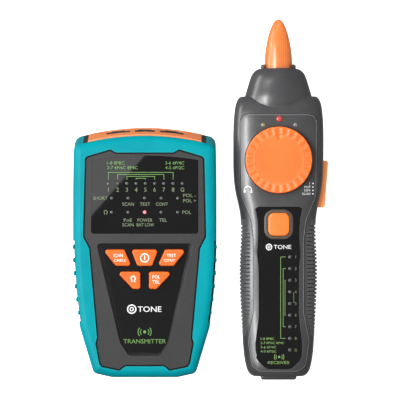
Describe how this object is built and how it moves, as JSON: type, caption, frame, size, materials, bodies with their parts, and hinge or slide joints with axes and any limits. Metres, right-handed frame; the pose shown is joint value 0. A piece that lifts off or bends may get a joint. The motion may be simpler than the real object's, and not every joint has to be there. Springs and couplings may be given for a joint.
{
  "type": "tone probe kit",
  "caption": "Tone transmitter with keypad, lamps and end sockets, and a receiver probe with dial, scan button, side switch and translucent tip, lying side by side on their backs.",
  "frame": {"origin": "centre of the kit's underside, on the surface both units lie on", "axes": "+X across both faces to the right, +Y towards the transmitter's sockets and the probe's tip, +Z out of the faces"},
  "size_m": [0.1365, 0.1926, 0.0348],
  "materials": {
    "battery_wrap": "printed steel case",
    "bezel_dark": "satin",
    "board_green": "solder mask",
    "chip_black": "moulded",
    "contact_gold": "gold plated",
    "dial_orange": "satin",
    "face_grey": "fine texture",
    "ferrite": "sintered",
    "gloss_black": "gloss",
    "grip_rubber": "matte",
    "housing_grey": "satin",
    "jack_black": "moulded",
    "key_orange": "soft touch",
    "keypad_black": "satin",
    "lamp_clear": "clear lens",
    "lamp_green": "clear green lens",
    "lamp_red": "lit",
    "lead_red": "insulation",
    "port_orange": "satin",
    "pot_metal": "plated",
    "screw_steel": "plated",
    "slider_orange": "satin",
    "snap_black": "moulded vinyl",
    "speaker_black": "moulded",
    "teal_rubber": "moulded rubber, satin",
    "tip_amber": "translucent"
  },
  "bodies": {
    "transmitter": {"tx_battery": "battery_wrap", "tx_battery_leads": "lead_red", "tx_battery_snap": "snap_black", "tx_board_parts": "chip_black", "tx_boot": "teal_rubber", "tx_case_screws": "screw_steel", "tx_circuit_board": "board_green", "tx_display_window": "gloss_black", "tx_front_cover": "face_grey", "tx_keypad_sheet": "keypad_black", "tx_left_contacts": "contact_gold", "tx_left_jack": "jack_black", "tx_middle_contacts": "contact_gold", "tx_middle_jack": "jack_black", "tx_port_bezel": "jack_black", "tx_port_panel": "port_orange", "tx_power_led": "lamp_red", "tx_rear_cover": "face_grey", "tx_right_contacts": "contact_gold", "tx_right_jack": "jack_black", "tx_status_leds": "lamp_clear"},
    "receiver": {"rx_antenna": "ferrite", "rx_battery": "battery_wrap", "rx_battery_leads": "lead_red", "rx_battery_snap": "snap_black", "rx_button_bezel": "bezel_dark", "rx_button_switch": "chip_black", "rx_case_screws": "screw_steel", "rx_circuit_board": "board_green", "rx_data_contacts": "contact_gold", "rx_data_jack": "jack_black", "rx_earphone_jack": "chip_black", "rx_front_cover": "housing_grey", "rx_green_led": "lamp_green", "rx_label_panel": "gloss_black", "rx_left_grip": "grip_rubber", "rx_map_leds": "lamp_clear", "rx_nose": "housing_grey", "rx_port_frame": "housing_grey", "rx_potentiometer": "pot_metal", "rx_rear_cover": "housing_grey", "rx_red_led": "lamp_red", "rx_right_grip": "grip_rubber", "rx_slide_switch": "pot_metal", "rx_speaker": "speaker_black", "rx_tip": "tip_amber", "rx_tip_collar": "grip_rubber", "rx_white_led": "lamp_clear"},
    "rx_dial": {"rx_dial": "dial_orange", "rx_dial_spindle": "screw_steel"},
    "rx_button": {"rx_button": "key_orange"},
    "rx_slider": {"rx_slider": "slider_orange"},
    "rx_battery_door": {"rx_battery_door": "housing_grey"},
    "tx_battery_door": {"tx_battery_door": "face_grey", "tx_door_screw": "screw_steel"},
    "tx_key_line": {"tx_key_line": "key_orange"},
    "tx_key_ohm": {"tx_key_ohm": "key_orange"},
    "tx_key_power": {"tx_key_power": "key_orange"},
    "tx_key_scan": {"tx_key_scan": "key_orange"},
    "tx_key_test": {"tx_key_test": "key_orange"}
  },
  "joints": [
    {"name": "receiver_lift", "type": "slide", "parent": "transmitter", "child": "receiver", "axis": [0, 0, 1], "range_m": [0, 0.1]},
    {"name": "tx_key_line_press", "type": "slide", "parent": "transmitter", "child": "tx_key_line", "axis": [0, 0, -1], "range_m": [0, 0.0008], "stiffness_N_per_m": 900, "springref_m": -0.0008},
    {"name": "tx_key_ohm_press", "type": "slide", "parent": "transmitter", "child": "tx_key_ohm", "axis": [0, 0, -1], "range_m": [0, 0.0008], "stiffness_N_per_m": 900, "springref_m": -0.0008},
    {"name": "tx_key_power_press", "type": "slide", "parent": "transmitter", "child": "tx_key_power", "axis": [0, 0, -1], "range_m": [0, 0.0008], "stiffness_N_per_m": 900, "springref_m": -0.0008},
    {"name": "tx_key_scan_press", "type": "slide", "parent": "transmitter", "child": "tx_key_scan", "axis": [0, 0, -1], "range_m": [0, 0.0008], "stiffness_N_per_m": 900, "springref_m": -0.0008},
    {"name": "tx_key_test_press", "type": "slide", "parent": "transmitter", "child": "tx_key_test", "axis": [0, 0, -1], "range_m": [0, 0.0008], "stiffness_N_per_m": 900, "springref_m": -0.0008},
    {"name": "rx_button_press", "type": "slide", "parent": "receiver", "child": "rx_button", "axis": [0, 0, -1], "range_m": [0, 0.0008], "stiffness_N_per_m": 900, "springref_m": -0.0008},
    {"name": "rx_dial_turn", "type": "hinge", "parent": "receiver", "child": "rx_dial", "pos_m": [0.0415, 0.021, 0.032], "axis": [0, 0, -1], "range_deg": [-150, 150]},
    {"name": "rx_slider_slide", "type": "slide", "parent": "receiver", "child": "rx_slider", "axis": [-0.0785, -0.9969, 0], "range_m": [0, 0.0057]},
    {"name": "rx_battery_door_slide", "type": "slide", "parent": "receiver", "child": "rx_battery_door", "axis": [0, -1, 0], "range_m": [0, 0.08]},
    {"name": "tx_battery_door_lift", "type": "slide", "parent": "transmitter", "child": "tx_battery_door", "axis": [0, 0, -1], "range_m": [0, 0.03]}
  ]
}
